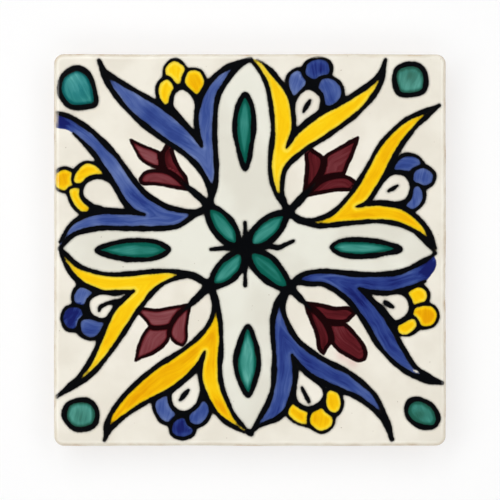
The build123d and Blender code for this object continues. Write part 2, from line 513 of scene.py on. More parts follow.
class Canvas:
    """Distances in mm from each point of a grid to the ink and to each pigment, below zero inside."""

    reach = 5.0  # how far from an outline distances are measured, in mm
    bridge = 0.16  # ink thinner than this shows its ground through
    pinhole = 0.5  # bare spots less than this from their edge to their middle are run over
    web = 0.34  # how readily ink fills the corner where two lines meet, in mm
    lap = 0.8  # how far past a wash its load and its strokes are kept, in mm

    def __init__(self, us: np.ndarray, vs: np.ndarray) -> None:
        """Lays out a bare grid.

        Args:
            us: places of the grid's columns, in mm.
            vs: places of its rows, in mm.
        """
        self.us = us
        self.vs = vs
        shape = (len(vs), len(us))
        self.ink = np.full(shape, FAR)
        self.cross = np.full(shape, FAR)
        self.load = np.full(shape, 0.5)
        self.stroke = np.zeros(shape)
        self.bleed = np.zeros(shape)
        self.cast = np.zeros(shape)
        self.wash = {pigment: np.full(shape, FAR) for pigment in Pigment}

    def window(self, line: np.ndarray, reach: float) -> tuple[slice, slice]:
        """Rows and columns of the grid that lie within reach of a line's box."""
        low, high = line.min(axis=0) - reach, line.max(axis=0) + reach
        columns = np.searchsorted(self.us, (low[0], high[0]))
        rows = np.searchsorted(self.vs, (low[1], high[1]))
        return slice(*rows), slice(*columns)

    def near(self, line: np.ndarray, half: np.ndarray, best: np.ndarray) -> None:
        """Lowers distances to those from a line.

        Args:
            line: points along the line.
            half: half of the line's width at each of them.
            best: distances to lower.
        """
        for n in range(len(line) - 1):
            box = self.window(line[n:n + 2], self.reach)
            u = self.us[box[1]][None, :] - line[n, 0]
            v = self.vs[box[0]][:, None] - line[n, 1]
            run = line[n + 1] - line[n]
            t = np.clip((u * run[0] + v * run[1]) / max(run @ run, 1e-9), 0.0, 1.0)
            gap = np.hypot(u - t * run[0], v - t * run[1]) - (half[n] + (half[n + 1] - half[n]) * t)
            np.minimum(best[box], gap, out=best[box])

    def signed(self, outline: np.ndarray, box: tuple[slice, slice]) -> np.ndarray:
        """Distances from a closed outline, below zero inside it.

        Args:
            outline: points round it.
            box: rows and columns to measure.

        Returns:
            The distances in that box.
        """
        gap = np.full(self.ink.shape, FAR)
        loop = np.vstack([outline, outline[:1]])
        self.near(loop, np.zeros(len(loop)), gap)
        u = self.us[box[1]][None, :]
        v = self.vs[box[0]][:, None]
        inside = np.zeros(gap[box].shape, dtype=bool)
        for a, b in zip(loop, loop[1:]):
            if a[1] != b[1]:
                crossed = (a[1] > v) != (b[1] > v)
                inside ^= crossed & (u < a[0] + (v - a[1]) * (b[0] - a[0]) / (b[1] - a[1]))
        return np.where(inside, -gap[box], gap[box])

    def draw(self, line: np.ndarray, half: float, start: float = 0.6, end: float = 0.45,
             run: float = 3.0) -> None:
        """Draws an ink line.

        Args:
            line: points along it.
            half: half of its width, in mm.
            start: share of that width at its first point.
            end: share of that width at its last point.
            run: how far from each end the width changes, in mm.
        """
        steps = np.hypot(*np.diff(line, axis=0).T)
        along = np.concatenate([[0.0], np.cumsum(steps)])
        opening = start + (1 - start) * np.clip(along / run, 0, 1)
        closing = end + (1 - end) * np.clip((along[-1] - along) / run, 0, 1)
        gap = np.full(self.ink.shape, FAR)
        self.near(line, half * opening * closing, gap)
        self.ink = -self.web * np.logaddexp(-self.ink / self.web, -gap / self.web)

    def blob(self, place: Point, radius: float) -> None:
        """Sets down a round blob of ink."""
        self.draw(np.array([place, place]), radius, start=1.0, end=1.0)

    def beside(self, *lines: np.ndarray) -> np.ndarray:
        """Distances to the nearest of some lines, for a brush that followed them."""
        gap = np.full(self.ink.shape, FAR)
        for line in lines:
            self.near(line, np.zeros(len(line)), gap)
        return gap

    def across(self, loop: np.ndarray) -> np.ndarray:
        """Distances across the longest chord from a loop's first point, for a brush that ran along it."""
        chords = loop - loop[0]
        chord = chords[np.argmax(np.hypot(*chords.T))]
        side = np.array([-chord[1], chord[0]]) / np.hypot(*chord)
        return (self.us[None, :] - loop[0, 0]) * side[0] + (self.vs[:, None] - loop[0, 1]) * side[1]

    def fill(self, outline: np.ndarray, pigment: Pigment | None, load: float = 0.5, spread: float = 0.0,
             stroke: np.ndarray | None = None) -> None:
        """Covers what lies inside an outline and washes it.

        Args:
            outline: points round it.
            pigment: what to wash it with, or None for bare glaze.
            load: how much pigment the brush held; 1 is a full brush.
            spread: how far the wash runs past the outline, in mm.
            stroke: distances across the brush's strokes, over the whole grid.
        """
        box = self.window(outline, self.reach)
        gap = self.signed(outline, box)
        self.ink[box] = np.maximum(self.ink[box], -gap)
        for wash in self.wash.values():
            wash[box] = np.maximum(wash[box], -gap)
        if pigment is not None:
            self.wash[pigment][box] = np.minimum(self.wash[pigment][box], gap - spread)
            laid = gap < spread + self.lap
            self.load[box] = np.where(laid, load, self.load[box])
            if stroke is not None:
                self.stroke[box] = np.where(laid, stroke[box], self.stroke[box])

    def spot(self, pool: Pool) -> np.ndarray:
        """A soft round spot on the grid."""
        away = np.hypot(self.us[None, :] - pool.place[0], self.vs[:, None] - pool.place[1])
        return pool.extra * np.exp(-(away / pool.radius) ** 2)

    def close_pinholes(self) -> None:
        """Runs ink into the tiny bare spots that strokes shut in, where a wet brush leaves none."""
        bare = self.ink > -self.bridge
        reached = self.ink > self.pinhole
        count = 0
        while count != reached.sum():
            count = reached.sum()
            reached[1:] |= reached[:-1]
            reached[:-1] |= reached[1:]
            reached[:, 1:] |= reached[:, :-1]
            reached[:, :-1] |= reached[:, 1:]
            reached &= bare
        self.ink[bare & ~reached] = -2 * self.bridge

    def ring(self, route: Route | np.ndarray, pigment: Pigment | None, load: float, half: float) -> None:
        """Fills a closed route and draws an ink line round it.

        Args:
            route: points round it.
            pigment: what to wash it with, or None for bare glaze.
            load: how much pigment the brush held; 1 is a full brush.
            half: half of the line's width, in mm.
        """
        loop = smooth_curve(route, closed=True)
        self.fill(loop, pigment, load, stroke=self.across(loop))
        self.draw(np.vstack([loop, loop[:2]]), half, start=1.0, end=1.0)


@dataclass
class Brushwork:
    """The painter's work on one tile: a cross with leaves, between blades, tulips and posies."""

    blade_line: float = 0.67  # halves of the ink lines' widths, in mm, from here to the stems
    cobalt_line: float = 0.72  # round cobalt blades
    bead_line: float = 0.5
    yellow_bead_line: float = 0.44
    eye_line: float = 0.58
    fleck_line: float = 0.65
    leaf_line: float = 0.67
    dot_line: float = 0.69
    middle_line: float = 0.73
    stem_line: float = 0.95
    knot: float = 1.15  # radius of the ink where blades part, in mm
    heart: float = 1.9  # and of the ink in the middle
    tulip_spread: float = 0.4  # how far the petals' wash runs past their outlines, in mm
    bead_tuck: float = 0.15  # how far the beads close in on their eye, in mm
    yellow_bead_tuck: float = 0.42

    def paint(self, canvas: Canvas) -> None:
        """Paints every motif, from the back to the front."""
        self.paint_posies(canvas)
        self.paint_tulips(canvas)
        self.paint_forks(canvas)
        self.paint_leaves(canvas)
        canvas.close_pinholes()

    def paint_posies(self, canvas: Canvas) -> None:
        """Paints the beads, eyes and flecks."""
        for posy in POSIES:
            yellow = posy.pigment is Pigment.YELLOW
            half = self.yellow_bead_line if yellow else self.bead_line
            tuck = self.yellow_bead_tuck if yellow else self.bead_tuck
            for bead, load in zip(posy.tucked(tuck), posy.loads):
                canvas.ring(bead, posy.pigment, load, half)
            canvas.ring(posy.eye, None, 0.5, self.eye_line)
            if posy.fleck:
                canvas.draw(smooth_curve(posy.fleck), self.fleck_line, start=0.7, end=0.7, run=1.0)

    def paint_tulips(self, canvas: Canvas) -> None:
        """Paints the maroon petals and their stems."""
        for tulip in TULIPS:
            for petal, load in zip((tulip.bud, *tulip.sides), tulip.loads):
                stroke = canvas.beside(smooth_curve(petal.near_edge))
                canvas.fill(petal.outline(), Pigment.MAROON, load, self.tulip_spread, stroke)
            canvas.draw(smooth_curve(tulip.stem), self.stem_line, start=0.15, end=1.1, run=4.0)

    def paint_forks(self, canvas: Canvas) -> None:
        """Paints the blades, the knots that they spring from and the bare cross between them."""
        for fork in FORKS.values():
            stroke = canvas.beside(smooth_curve(fork.back), smooth_curve(fork.arm))
            canvas.fill(fork.outline(), fork.pigment, fork.load, stroke=stroke)
            half = self.cobalt_line if fork.pigment is Pigment.COBALT else self.blade_line
            for route in (fork.back, fork.arm):
                canvas.draw(smooth_curve(route), half)
            for line in fork.gap_lines():
                canvas.draw(line, half, start=0.25, run=4.5)
        for knot in (KNOT_UL, KNOT_UR, KNOT_DL, KNOT_DR):
            canvas.blob(knot, self.knot)
        canvas.fill(smooth_curve(BARE_SPOT, closed=True), None)
        sides = ("up_left", "up_right", "right_up", "right_down",
                 "down_right", "down_left", "left_down", "left_up")
        edges = [smooth_curve(FORKS[side].arm)[::-1 if n % 2 else 1] for n, side in enumerate(sides)]
        outline = np.vstack(edges)
        box = canvas.window(outline, canvas.reach)
        canvas.cross[box] = canvas.signed(outline, box)

    def paint_leaves(self, canvas: Canvas) -> None:
        """Paints the green leaves and dots, and the black strokes round the middle."""
        for leaf in ARM_LEAVES:
            canvas.ring(leaf.route, Pigment.COPPER, leaf.load, self.leaf_line)
        for leaf in MIDDLE_LEAVES:
            canvas.ring(leaf.route, Pigment.COPPER, leaf.load, self.middle_line)
        for tick in TICKS:
            canvas.draw(smooth_curve(tick), self.fleck_line, start=1.6, end=0.8, run=3.5)
        canvas.blob(MIDDLE, self.heart)
        for dot in CORNER_DOTS:
            canvas.ring(dot.route, Pigment.COPPER, dot.load, self.dot_line)
        for layer, pools in ((canvas.load, POOLS), (canvas.bleed, BLEEDS), (canvas.cast, CASTS)):
            for pool in pools:
                layer += canvas.spot(pool)


class Link:
    """An output socket of a node tree, holding a colour, a vector or a shader."""

    def __init__(self, bench: "Bench", socket: bpy.types.NodeSocket) -> None:
        """Keeps the socket and the bench that its node stands on."""
        self.bench = bench
        self.socket = socket


Given = "Value | float"


class Value(Link):
    """A number that changes over the surface; an expression with it adds Math nodes."""

    def __add__(self, other: Given) -> "Value":
        """Adds."""
        return self.bench.maths("ADD", self, other)

    def __sub__(self, other: Given) -> "Value":
        """Takes away."""
        return self.bench.maths("SUBTRACT", self, other)

    def __rsub__(self, other: Given) -> "Value":
        """Is taken away."""
        return self.bench.maths("SUBTRACT", other, self)

    def __mul__(self, other: Given) -> "Value":
        """Multiplies."""
        return self.bench.maths("MULTIPLY", self, other)

    __radd__ = __add__
    __rmul__ = __mul__

    def __neg__(self) -> "Value":
        """Changes sign."""
        return self * -1.0

    def most(self, other: Given) -> "Value":
        """The larger of two."""
        return self.bench.maths("MAXIMUM", self, other)

    def eased(self, low: float, high: float) -> "Value":
        """Rises smoothly from 0 at `low` to 1 at `high`."""
        sockets = {"Value": self, "From Min": low, "From Max": high}
        node = self.bench.node("ShaderNodeMapRange", {"interpolation_type": "SMOOTHSTEP"}, sockets)
        return Value(self.bench, node.outputs[0])


class Bench:
    """A material's or a world's node tree and the ways to add nodes to it."""

    def __init__(self, owner: bpy.types.Material | bpy.types.World) -> None:
        """Clears the node tree of a material or world."""
        owner.use_nodes = True
        self.tree = owner.node_tree
        self.tree.nodes.clear()

    def node(self, kind: str, settings: Mapping[str, object] | None = None,
             sockets: Mapping[str | int, object] | None = None) -> bpy.types.Node:
        """Adds a node.

        Args:
            kind: the node's type.
            settings: its own settings, set first; "stops" are a ramp's places and colours.
            sockets: numbers, colours or links for its inputs, by name or number.

        Returns:
            The node.
        """
        made = self.tree.nodes.new(kind)
        for name, setting in (settings or {}).items():
            if name == "stops":
                self.set_stops(made.color_ramp, setting)
            else:
                setattr(made, name, setting)
        for name, given in (sockets or {}).items():
            if isinstance(given, Link):
                self.tree.links.new(given.socket, made.inputs[name])
            else:
                made.inputs[name].default_value = given
        return made

    @staticmethod
    def set_stops(ramp: bpy.types.ColorRamp, stops: Mapping[float, Rgb]) -> None:
        """Sets a ramp's stops from places and screen colours."""
        while len(ramp.elements) < len(stops):
            ramp.elements.new(0.5)
        for element, (place, colour) in zip(ramp.elements, sorted(stops.items())):
            element.position = place
            element.color = linear(colour)

    def maths(self, operation: str, first: Given, second: Given) -> Value:
        """Adds a Math node on two values or numbers."""
        node = self.node("ShaderNodeMath", {"operation": operation}, {0: first, 1: second})
        return Value(self, node.outputs[0])

    def reading(self, attribute: str) -> Value:
        """Reads a number that the mesh carries at its points."""
        node = self.node("ShaderNodeAttribute", {"attribute_name": attribute})
        return Value(self, node.outputs["Fac"])

    def millimetres(self) -> Link:
        """Place on the object, in mm."""
        place = Link(self, self.node("ShaderNodeTexCoord").outputs["Object"])
        node = self.node("ShaderNodeVectorMath", {"operation": "SCALE"}, {0: place, "Scale": 1 / MM})
        return Link(self, node.outputs[0])

    def distance(self, place: Link) -> Value:
        """How far a place lies from the middle, in mm."""
        node = self.node("ShaderNodeVectorMath", {"operation": "LENGTH"}, {0: place})
        return Value(self, node.outputs["Value"])

    def noise(self, place: Link, scale: float, detail: float = 2.0, roughness: float = 0.5) -> Value:
        """Adds cloudy noise.

        Args:
            place: where it is read, in mm.
            scale: clouds to a mm.
            detail: how many finer layers it has.
            roughness: how strong the finer layers are.

        Returns:
            The noise, from 0 to 1.
        """
        sockets = {"Vector": place, "Scale": scale, "Detail": detail, "Roughness": roughness}
        return Value(self, self.node("ShaderNodeTexNoise", {}, sockets).outputs["Fac"])

    def vector(self, x: Given, y: Given, z: Given) -> Link:
        """Joins three values into a vector."""
        return Link(self, self.node("ShaderNodeCombineXYZ", {}, {"X": x, "Y": y, "Z": z}).outputs[0])

    def ramp(self, tone: Value, stops: Mapping[float, Rgb]) -> Link:
        """Looks a tone up in a ramp of screen colours."""
        node = self.node("ShaderNodeValToRGB", {"stops": stops}, {"Fac": tone})
        return Link(self, node.outputs["Color"])

    def blend(self, share: Given, under: Link | Rgb, over: Link | Rgb, way: str = "MIX") -> Link:
        """Mixes two colours.

        Args:
            share: how much of the second, from 0 to 1.
            under: the first, a link or a screen colour.
            over: the second, a link or a screen colour.
            way: the Mix node's way of mixing, such as MULTIPLY to darken.

        Returns:
            The mixed colour.
        """
        first, second = (c if isinstance(c, Link) else linear(c) for c in (under, over))
        settings = {"data_type": "RGBA", "blend_type": way}
        node = self.node("ShaderNodeMix", settings, {0: share, 6: first, 7: second})
        return Link(self, node.outputs[2])

    def close(self, shader: bpy.types.Node) -> None:
        """Joins a shader to the material's output."""
        self.node("ShaderNodeOutputMaterial", {}, {"Surface": Link(self, shader.outputs[0])})


@dataclass(frozen=True)
class Wash:
    """A pigment brushed on in streaks that follow the motif's edges."""

    pigment: Pigment
    stops: Mapping[float, Rgb]
    pooling: float  # how much the tone changes from the edge of a motif to its middle
    pooling_depth: float  # depth in mm at which that change is complete
    streaks: float  # how much the tone changes from streak to streak
    clouds: float  # how much it changes over the tile
    red_cast: Rgb | None = None  # added where the brush left a cast above zero
    blue_cast: Rgb | None = None  # added where it left one below zero
    edge: tuple[float, float] = (0.16, -0.14)  # distances in mm over which the wash comes in
    wander: float = 2.5  # how much the streaks stray from the motif's edges
    streaks_across: float = 1.2  # streaks to a mm across the brush
    streaks_along: float = 0.11  # and along it
    load_shift: float = 3.0  # how much the streaks change from one load to another

    def lay(self, bench: Bench, under: Link, place: Link, wobble: Value) -> Link:
        """Lays the pigment over what is there.

        Args:
            bench: the material's bench.
            under: colour below it.
            place: place on the tile, in mm.
            wobble: uneven edge, in mm.

        Returns:
            The colour.
        """
        gap = bench.reading(self.pigment.value)
        cover = (gap + wobble).eased(*self.edge)
        load = bench.reading("load")
        drift = bench.noise(place, 0.16, 1.0) * self.wander
        across = bench.reading("stroke_mm") * self.streaks_across + drift
        along = bench.distance(place) * self.streaks_along
        streak = bench.noise(bench.vector(across, along, load * self.load_shift), 1.0, 3.0, 0.6)
        cloud = bench.noise(place, 0.13, 2.0)
        tone = load + (streak - 0.5) * self.streaks + (cloud - 0.5) * self.clouds
        tone = tone + ((-gap).eased(self.pooling_depth / 4, self.pooling_depth) - 0.5) * self.pooling
        paint = bench.ramp(tone, self.stops)
        if self.red_cast and self.blue_cast:
            cast = bench.reading("cast")
            paint = bench.blend(cast, paint, self.red_cast, "ADD")
            paint = bench.blend(-cast, paint, self.blue_cast, "ADD")
        return bench.blend(cover, under, paint)


COBALT = Wash(
    Pigment.COBALT,
    {0.0: (128, 146, 194), 0.3: (88, 108, 166), 0.6: (56, 77, 143), 0.85: (38, 54, 124), 1.0: (24, 32, 98)},
    pooling=0.2, pooling_depth=1.9, streaks=0.9, clouds=0.8,
)
YELLOW = Wash(
    Pigment.YELLOW,
    {0.0: (255, 224, 66), 0.35: (252, 208, 22), 0.65: (247, 192, 12), 1.0: (232, 160, 6)},
    pooling=0.65, pooling_depth=1.7, streaks=0.8, clouds=0.8,
)
COPPER = Wash(
    Pigment.COPPER,
    {0.0: (112, 184, 172), 0.3: (70, 150, 138), 0.6: (44, 126, 114), 1.0: (12, 92, 78)},
    pooling=-0.9, pooling_depth=1.8, streaks=0.8, clouds=0.9, red_cast=(48, 14, 0), blue_cast=(0, 10, 64),
)
MAROON = Wash(
    Pigment.MAROON,
    {0.0: (142, 86, 90), 0.3: (122, 60, 65), 0.6: (92, 28, 34), 0.85: (56, 12, 16), 1.0: (26, 5, 7)},
    pooling=-1.05, pooling_depth=1.35, streaks=0.7, clouds=0.3,
)


@dataclass(frozen=True)
class Ink:
    """The black outline, dense where the brush was full and browner where it ran thin."""

    full: Rgb = (7, 8, 11)
    thin: Rgb = (44, 38, 30)
    halo: Rgb = (92, 86, 84)
    bleed: float = 0.3  # how strongly the ink bleeds into the glaze beside it
    bleed_reach: float = 0.6  # how far it does, in mm
    edge: tuple[float, float] = (0.15, -0.16)  # distances in mm over which the ink comes in
    dry_edge: tuple[float, float] = (-0.4, -0.05)  # distances in mm over which it runs thin
    dry: float = 0.7  # how thin it runs
    roughness: float = 0.15

    def lay(self, bench: Bench, under: Link, place: Link, wobble: Value) -> tuple[Link, Value]:
        """Lays the ink over what is there.

        Args:
            bench: the material's bench.
            under: colour below it.
            place: place on the tile, in mm.
            wobble: uneven edge, in mm.

        Returns:
            The colour, and how much the ink covers, from 0 to 1.
        """
        gap = bench.reading("ink_mm") + wobble
        bled = gap.eased(self.bleed_reach, 0.0) * self.bleed
        under = bench.blend(bled, under, self.halo, "MULTIPLY")
        cover = gap.eased(*self.edge)
        patches = bench.noise(place, 0.35, 3.0, 0.6).eased(0.5, 0.8)
        dryness = patches * gap.eased(*self.dry_edge) * self.dry
        return bench.blend(cover, under, bench.blend(dryness, self.full, self.thin)), cover


@dataclass(frozen=True)
class Glaze:
    """Off-white tin glaze, cooler inside the cross and thin along the tile's edge."""

    warm: Rgb = (240, 235, 222)
    pale: Rgb = (232, 226, 212)
    cool: Rgb = (232, 232, 220)
    grey: Rgb = (222, 220, 207)
    speck: Rgb = (150, 128, 104)
    thin: Rgb = (220, 209, 189)
    bare: Rgb = (194, 167, 135)
    roughness: float = 0.13
    cross_edge: tuple[float, float] = (0.3, -0.6)  # distances in mm over which the cross turns cooler
    cross_share: float = 0.8  # how much cooler it turns
    speck_share: float = 0.6  # how strong the specks are
    thin_reach: tuple[float, float] = (1.15, 0.1)  # mm from the tile's edge over which the glaze thins
    thin_share: float = 0.92  # how much it thins
    bare_reach: tuple[float, float] = (0.5, -0.1)  # mm from that edge over which clay shows through
    mottle: float = 1.7  # how uneven those are, in mm

    def colour(self, bench: Bench, place: Link) -> Link:
        """Colour of the glaze before it is painted."""
        ground = bench.blend(bench.noise(place, 0.09, 3.0).eased(0.35, 0.65), self.warm, self.pale)
        inside = bench.reading("cross_mm").eased(*self.cross_edge) * self.cross_share
        calm = bench.blend(bench.noise(place, 0.07).eased(0.4, 0.65), self.cool, self.grey)
        ground = bench.blend(inside, ground, calm)
        specks = bench.noise(place, 1.1, 1.0).eased(0.77, 0.82) * self.speck_share
        return bench.blend(specks, ground, self.speck)

    def thin_edge(self, bench: Bench, place: Link, under: Link) -> Link:
        """Thins the painted glaze along the rolled edge, where the clay shows through it.

        Args:
            bench: the material's bench.
            place: place on the tile, in mm.
            under: colour of the painted glaze.

        Returns:
            The colour.
        """
        edge = bench.reading("edge_mm") + (bench.noise(place, 0.24, 3.0, 0.55) - 0.5) * self.mottle
        thinned = bench.blend(edge.eased(*self.thin_reach) * self.thin_share, under, self.thin)
        worn = bench.noise(place, 0.13, 3.0).eased(0.42, 0.6)
        return bench.blend(edge.eased(*self.bare_reach) * worn, thinned, self.bare)


@dataclass(frozen=True)
class Biscuit:
    """Bare fired clay of the sides and back, sandy and a little pitted, with painted shade and dust in the
    back's grooves.
    """

    light: Rgb = (216, 190, 160)
    dark: Rgb = (203, 170, 136)
    # colour of the painted shade in the grooves, standing in for their shadow, with some dust
    shade: Rgb = (164, 130, 100)
    speck: Rgb = (132, 98, 76)
    roughness: float = 0.88
    shade_and_dust_depth: tuple[float, float] = (0.2, 1.0)  # depths in mm over which the grooves darken with painted shade and dust
    shade_and_dust_share: float = 0.7  # how much they darken
    shade_and_dust_mottle: float = 0.8  # how uneven that is, in mm
    speck_share: float = 0.7  # how strong the specks are
    grain_height: float = 0.16  # mm
    pit_depth: float = 0.18  # mm

    def colour(self, bench: Bench, place: Link) -> Link:
        """Colour of the clay, with painted shade and dust darkening the grooves."""
        clay = bench.blend(bench.noise(place, 0.06, 5.0, 0.65).eased(0.35, 0.65), self.light, self.dark)
        # painted shade: the grooves darken with depth, standing in for their shadow, with some dust
        shade_and_dust = bench.reading("groove_mm") + (bench.noise(place, 0.5, 3.0) - 0.5) * self.shade_and_dust_mottle
        clay = bench.blend(shade_and_dust.eased(*self.shade_and_dust_depth) * self.shade_and_dust_share, clay, self.shade)
        specks = bench.noise(place, 1.6, 2.0).eased(0.66, 0.74) * self.speck_share
        return bench.blend(specks, clay, self.speck)

    def height(self, bench: Bench, place: Link) -> Value:
        """Height of the clay's grain, in mm."""
        grain = bench.noise(place, 2.2, 4.0, 0.65) * self.grain_height
        pits = bench.noise(place, 0.7, 1.0).eased(0.3, 0.22) * self.pit_depth
        return grain - pits


@dataclass(frozen=True)
class TileFinish:
    """The whole tile's finish: painted glaze that ends in an uneven line on bare clay."""

    glaze: Glaze = Glaze()
    biscuit: Biscuit = Biscuit()
    ink: Ink = Ink()
    washes: tuple[Wash, ...] = (YELLOW, COBALT, COPPER, MAROON)
    pink: Rgb = (222, 168, 162)  # maroon that bled into the glaze
    edge_wobble: float = 0.32  # spread of a brushed edge, in mm
    pressure: float = 0.7  # how much a line swells and thins with the brush's pressure, in mm
    ripple_height: float = 0.016  # fine unevenness of the glaze, in mm
    sheen_change: float = 0.12  # how much its roughness changes over the tile
    glaze_edge: tuple[float, float] = (-0.12, 0.12)  # heights in mm over which it ends on the clay
    ior: float = 1.5

    def material(self) -> bpy.types.Material:
        """Builds the material."""
        finish = bpy.data.materials.new("painted_glaze_on_biscuit")
        bench = Bench(finish)
        place = bench.millimetres()
        wobble = (bench.noise(place, 1.1, 3.0, 0.6) - 0.5) * self.edge_wobble
        wobble = wobble + (bench.noise(place, 0.21, 1.0) - 0.5) * self.pressure
        colour = self.glaze.colour(bench, place)
        colour = bench.blend(bench.reading("bleed"), colour, self.pink)
        for wash in self.washes:
            colour = wash.lay(bench, colour, place, wobble)
        colour, inked = self.ink.lay(bench, colour, place, wobble)
        colour = self.glaze.thin_edge(bench, place, colour)

        glazed = bench.reading("glaze_mm").eased(*self.glaze_edge)
        colour = bench.blend(glazed, self.biscuit.colour(bench, place), colour)

        sheen = self.glaze.roughness + (bench.noise(place, 0.25, 3.0) - 0.5) * self.sheen_change
        sheen = sheen + inked * (self.ink.roughness - self.glaze.roughness)
        roughness = self.biscuit.roughness + (sheen - self.biscuit.roughness) * glazed

        ripple = (bench.noise(place, 0.55, 2.0) - 0.5) * self.ripple_height
        grain = self.biscuit.height(bench, place)
        height = grain + (ripple - grain) * glazed
        bump = bench.node("ShaderNodeBump", {}, {"Strength": 1.0, "Distance": MM, "Height": height})

        shader = bench.node("ShaderNodeBsdfPrincipled", {}, {
            "Base Color": colour, "Roughness": roughness, "IOR": self.ior,
            "Normal": Link(bench, bump.outputs[0]),
        })
        bench.close(shader)
        return finish


@dataclass(frozen=True)
class Patch:
    """A rectangle of the UV square."""

    left: float
    bottom: float
    width: float
    height: float

    def place(self, across: np.ndarray, up: np.ndarray) -> np.ndarray:
        """Places in the rectangle, from shares of its width and height."""
        return np.stack([self.left + self.width * across, self.bottom + self.height * up], axis=-1)


FACE_PATCH = Patch(0.005, 0.005, 0.74, 0.74)
BACK_PATCH = Patch(0.755, 0.005, 0.24, 0.74)
SIDE_PATCHES = tuple(Patch(0.005, 0.757 + 0.06 * side, 0.99, 0.054) for side in range(4))


@dataclass(frozen=True)
class BandRow:
    """A row of points round the sides, placed from the glaze's lower edge, in mm."""

    lift: float  # above that edge
    rise: float = 0.0  # share of the way from there up to the rolled edge
    drop: float = 0.0  # share of the way from there down to the skirt
    recess: float = 0.0  # how far it lies behind the glaze

    def height(self, line: np.ndarray, roll_foot: float, skirt_top: float) -> np.ndarray:
        """Heights of the row above the glaze's edge."""
        z = line + self.lift
        return z + (roll_foot - z) * self.rise + (skirt_top - z) * self.drop


BAND_ROWS = (
    BandRow(0.7, rise=0.67),
    BandRow(0.7, rise=0.33),
    BandRow(0.7),
    BandRow(0.38, recess=-0.05),
    BandRow(0.12, recess=-0.02),
    BandRow(-0.06, recess=0.17),
    BandRow(-0.35, recess=0.24),
    BandRow(-0.35, drop=0.5, recess=0.22),
    BandRow(-0.35, drop=1.0, recess=0.12),
)


def rim(numbers: np.ndarray) -> tuple[np.ndarray, ...]:
    """The four sides of a grid of points: front, right, rear and left, each as seen from outside."""
    return numbers[0], numbers[:, -1], numbers[-1, ::-1], numbers[::-1, 0]


@dataclass
class Shell:
    """Points and faces gathered for one closed mesh, with each face's places on the UV square."""

    points: list[np.ndarray] = field(default_factory=list)
    faces: list[list[int]] = field(default_factory=list)
    corners: list[np.ndarray] = field(default_factory=list)
    count: int = 0

    def add_points(self, points: np.ndarray) -> np.ndarray:
        """Adds points and gives their numbers, in the shape of the array that held them."""
        flat = points.reshape(-1, 3)
        numbers = np.arange(self.count, self.count + len(flat)).reshape(points.shape[:-1])
        self.points.append(flat)
        self.count += len(flat)
        return numbers

    def add_grid(self, numbers: np.ndarray, uv: np.ndarray, flip: bool = False) -> None:
        """Adds the quads of a grid of points.

        Args:
            numbers: point numbers, in rows and columns.
            uv: each point's place on the UV square.
            flip: whether the faces look the other way.
        """
        low, high = slice(None, -1), slice(1, None)
        loop = ((low, low), (low, high), (high, high), (high, low))
        loop = loop[::-1] if flip else loop
        self.faces.extend(np.stack([numbers[c] for c in loop], axis=-1).reshape(-1, 4).tolist())
        self.corners.append(np.stack([uv[c] for c in loop], axis=-2).reshape(-1, 2))

    def zip_rows(self, upper: np.ndarray, upper_uv: np.ndarray,
                 lower: np.ndarray, lower_uv: np.ndarray) -> None:
        """Joins two rows of points that differ in number with triangles.

        Args:
            upper: point numbers of the upper row, from left to right as seen from outside.
            upper_uv: their places on the UV square.
            lower: point numbers of the lower row.
            lower_uv: their places on the UV square.
        """
        i = j = 0
        while i < len(upper) - 1 or j < len(lower) - 1:
            face = [int(upper[i]), int(lower[j])]
            places = [upper_uv[i], lower_uv[j]]
            if j == len(lower) - 1 or (i < len(upper) - 1 and upper_uv[i + 1, 0] <= lower_uv[j + 1, 0]):
                i += 1
                self.faces.append([*face, int(upper[i])])
                self.corners.append(np.stack([*places, upper_uv[i]]))
            else:
                j += 1
                self.faces.append([*face, int(lower[j])])
                self.corners.append(np.stack([*places, lower_uv[j]]))

    def padded(self, *known: np.ndarray, rest: float = FAR) -> np.ndarray:
        """Readings for every point: those known for the first points, and one number for the rest."""
        first = np.concatenate([part.ravel() for part in known])
        return np.concatenate([first, np.full(self.count - len(first), rest)])

    def mesh_object(self, name: str, readings: Mapping[str, np.ndarray]) -> bpy.types.Object:
        """Makes the mesh.

        Args:
            name: name of the piece.
            readings: numbers that each point carries for the finish.

        Returns:
            The piece.
        """
        mesh = bpy.data.meshes.new(name)
        mesh.from_pydata((np.vstack(self.points) * MM).tolist(), [], self.faces)
        mesh.uv_layers.new(name="OFBake").data.foreach_set("uv", np.vstack(self.corners).ravel())
        for reading, numbers in readings.items():
            mesh.attributes.new(reading, "FLOAT", "POINT").data.foreach_set("value", numbers)
        mesh.polygons.foreach_set("use_smooth", np.ones(len(mesh.polygons), dtype=bool))
        mesh.set_sharp_from_angle(angle=math.radians(SHARP))
        piece = bpy.data.objects.new(name, mesh)
        bpy.context.scene.collection.objects.link(piece)
        return piece


